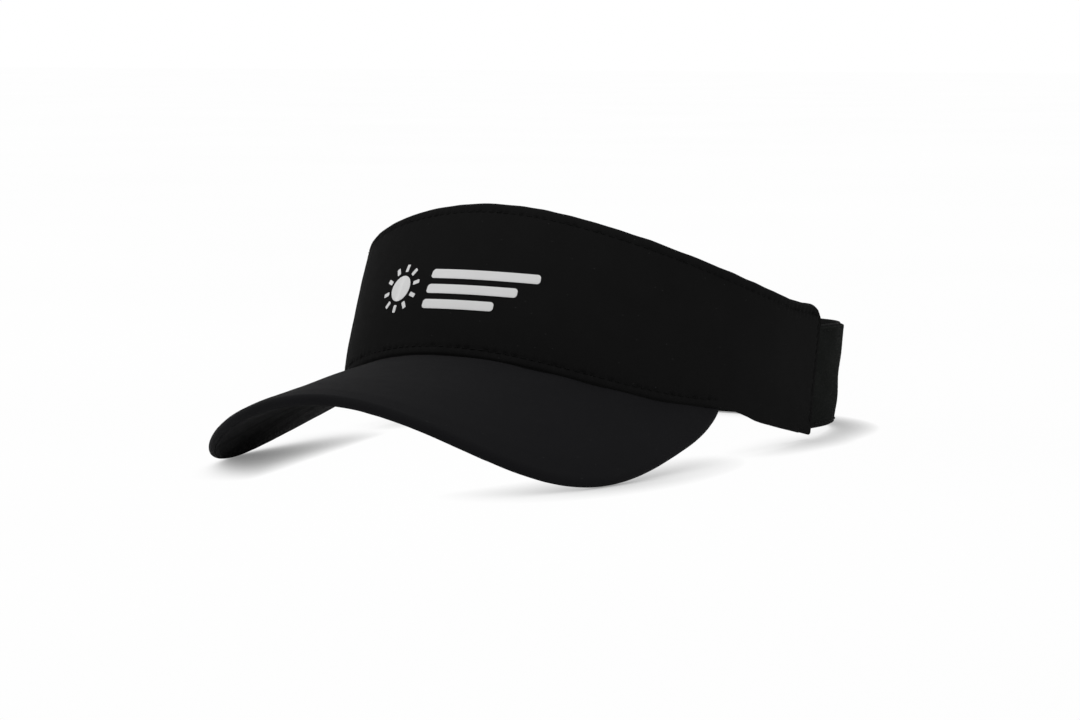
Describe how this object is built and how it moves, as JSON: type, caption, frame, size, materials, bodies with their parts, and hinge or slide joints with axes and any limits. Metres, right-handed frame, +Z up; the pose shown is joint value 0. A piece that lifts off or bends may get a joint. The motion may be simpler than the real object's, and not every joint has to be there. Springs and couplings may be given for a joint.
{
  "type": "sun visor",
  "caption": "Open-crown fabric sun visor with a curved stiffened bill, a padded sweatband and a two-part hook-and-loop back strap.",
  "frame": {"origin": "on the ground, where the axis of the head opening meets it, with the visor resting on its bill corners and strap", "axes": "+Z up from the ground, the bill points to -Y, +X is the wearer's left, the side whose strap carries the loop pile"},
  "size_m": [0.166, 0.2727, 0.0893],
  "materials": {
    "shell_fabric": "matte woven polyester",
    "bill_fabric": "matte woven polyester",
    "lining_fabric": "matte knitted polyester",
    "sweatband_fabric": "brushed wicking terry",
    "foam": "open-cell foam laminate",
    "buckram": "stiffened mesh",
    "bill_board": "moulded polyethylene board",
    "thread": "spun polyester thread",
    "print": "matte transfer print",
    "webbing": "woven nylon webbing",
    "loop_pile": "brushed nylon loop",
    "hook_pile": "nylon hook",
    "label_grey": "satin label",
    "label_beige": "satin label"
  },
  "bodies": {
    "visor": {"crown_shell": "shell_fabric", "crown_stiffener": "buckram", "crown_lining": "lining_fabric", "top_edge_tape": "lining_fabric", "seam_tape": "lining_fabric", "forehead_foam": "foam", "sweatband": "sweatband_fabric", "near_end_facing": "lining_fabric", "far_end_facing": "lining_fabric", "bill_core": "bill_board", "bill_top_cover": "bill_fabric", "bill_under_cover": "bill_fabric", "front_mark": "print", "top_edge_thread": "thread", "bill_seam_thread": "thread", "sweatband_thread": "thread", "near_end_thread": "thread", "far_end_thread": "thread"},
    "loop_strap_half": {"loop_strap": "webbing", "loop_tape": "loop_pile", "loop_tape_thread": "thread"},
    "hook_strap_half": {"hook_strap": "webbing", "hook_tape": "hook_pile", "hook_tape_thread": "thread"},
    "care_label_flap": {"care_label": "label_grey"},
    "size_label_flap": {"size_label": "label_beige"}
  },
  "joints": [
    {"name": "hook_strap_peel", "type": "hinge", "parent": "visor", "child": "hook_strap_half", "pos_m": [-0.07958, 0.03859, 0.02275], "axis": [0, 0.2079, 0.9781], "range_deg": [0, 80]},
    {"name": "loop_strap_swing", "type": "hinge", "parent": "visor", "child": "loop_strap_half", "pos_m": [0.07958, 0.03859, 0.02275], "axis": [0, 0.2079, 0.9781], "range_deg": [0, 35]},
    {"name": "care_label_flip", "type": "hinge", "parent": "visor", "child": "care_label_flap", "pos_m": [0.07597, -0.00257, 0.03959], "axis": [0.0977, 0.9735, -0.2069], "range_deg": [0, 95]},
    {"name": "size_label_flip", "type": "hinge", "parent": "visor", "child": "size_label_flap", "pos_m": [-0.07648, -0.00195, 0.03939], "axis": [0.0937, -0.9738, 0.207], "range_deg": [0, 95]}
  ]
}
